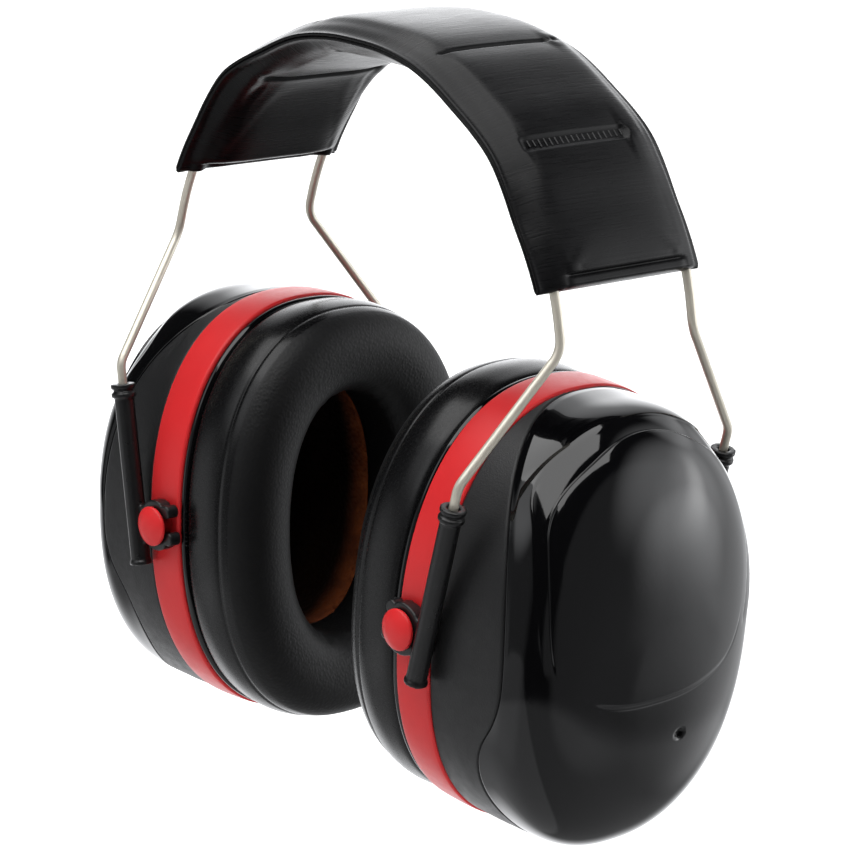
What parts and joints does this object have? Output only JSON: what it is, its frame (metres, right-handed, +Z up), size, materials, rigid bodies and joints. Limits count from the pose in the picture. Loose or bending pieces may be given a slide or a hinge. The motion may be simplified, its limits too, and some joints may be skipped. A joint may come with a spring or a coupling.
{
  "type": "earmuff hearing protector",
  "caption": "Over-the-head earmuff: deep oval cups with soft ear cushions tilt on studs in arms that slide on two spring wires under a padded band.",
  "frame": {"origin": "middle of the head, halfway between the tilt axes of the two cups", "axes": "+Z up to the crown, +X to the wearer's left ear, -Y the way the wearer faces"},
  "size_m": [0.1606, 0.0878, 0.1728],
  "materials": {
    "gloss_black_plastic": "high gloss moulded",
    "matt_black_plastic": "fine spark-eroded texture",
    "red_plastic": "satin",
    "arm_plastic": "satin",
    "soft_black_skin": "soft PVC skin, finely grained on its front",
    "black_leatherette": "satin leatherette with fine cross lines",
    "grey_foam": "open cell foam",
    "orange_foam": "open cell foam",
    "spring_steel": "drawn stainless spring wire"
  },
  "bodies": {
    "headband": {"front_wire": "spring_steel", "rear_wire": "spring_steel", "band_cover_top": "black_leatherette", "band_cover_bottom": "black_leatherette", "band_foam": "grey_foam"},
    "left_arms": {"left_front_arm": "arm_plastic", "left_rear_arm": "arm_plastic"},
    "left_cup": {"left_outer_cap": "gloss_black_plastic", "left_mid_shell": "matt_black_plastic", "left_trim_ring": "red_plastic", "left_inner_cup": "matt_black_plastic", "left_casing_foam": "grey_foam", "left_foam_liner": "orange_foam", "left_seal_plate": "gloss_black_plastic", "left_cushion_cover": "soft_black_skin", "left_cushion_foam": "grey_foam", "left_front_stud": "red_plastic", "left_rear_stud": "red_plastic"},
    "right_arms": {"right_front_arm": "arm_plastic", "right_rear_arm": "arm_plastic"},
    "right_cup": {"right_outer_cap": "gloss_black_plastic", "right_mid_shell": "matt_black_plastic", "right_trim_ring": "red_plastic", "right_inner_cup": "matt_black_plastic", "right_casing_foam": "grey_foam", "right_foam_liner": "orange_foam", "right_seal_plate": "gloss_black_plastic", "right_cushion_cover": "soft_black_skin", "right_cushion_foam": "grey_foam", "right_front_stud": "red_plastic", "right_rear_stud": "red_plastic"}
  },
  "joints": [
    {"name": "left_height", "type": "slide", "parent": "headband", "child": "left_arms", "axis": [-0.2096, 0, -0.9778], "range_m": [-0.003, 0.028]},
    {"name": "left_tilt", "type": "hinge", "parent": "left_arms", "child": "left_cup", "pos_m": [0.0429, 0, 0], "axis": [0, 1, 0], "range_deg": [-18, 12]},
    {"name": "right_height", "type": "slide", "parent": "headband", "child": "right_arms", "axis": [0.2096, 0, -0.9778], "range_m": [-0.003, 0.028]},
    {"name": "right_tilt", "type": "hinge", "parent": "right_arms", "child": "right_cup", "pos_m": [-0.0429, 0, 0], "axis": [0, -1, 0], "range_deg": [-18, 12]}
  ]
}
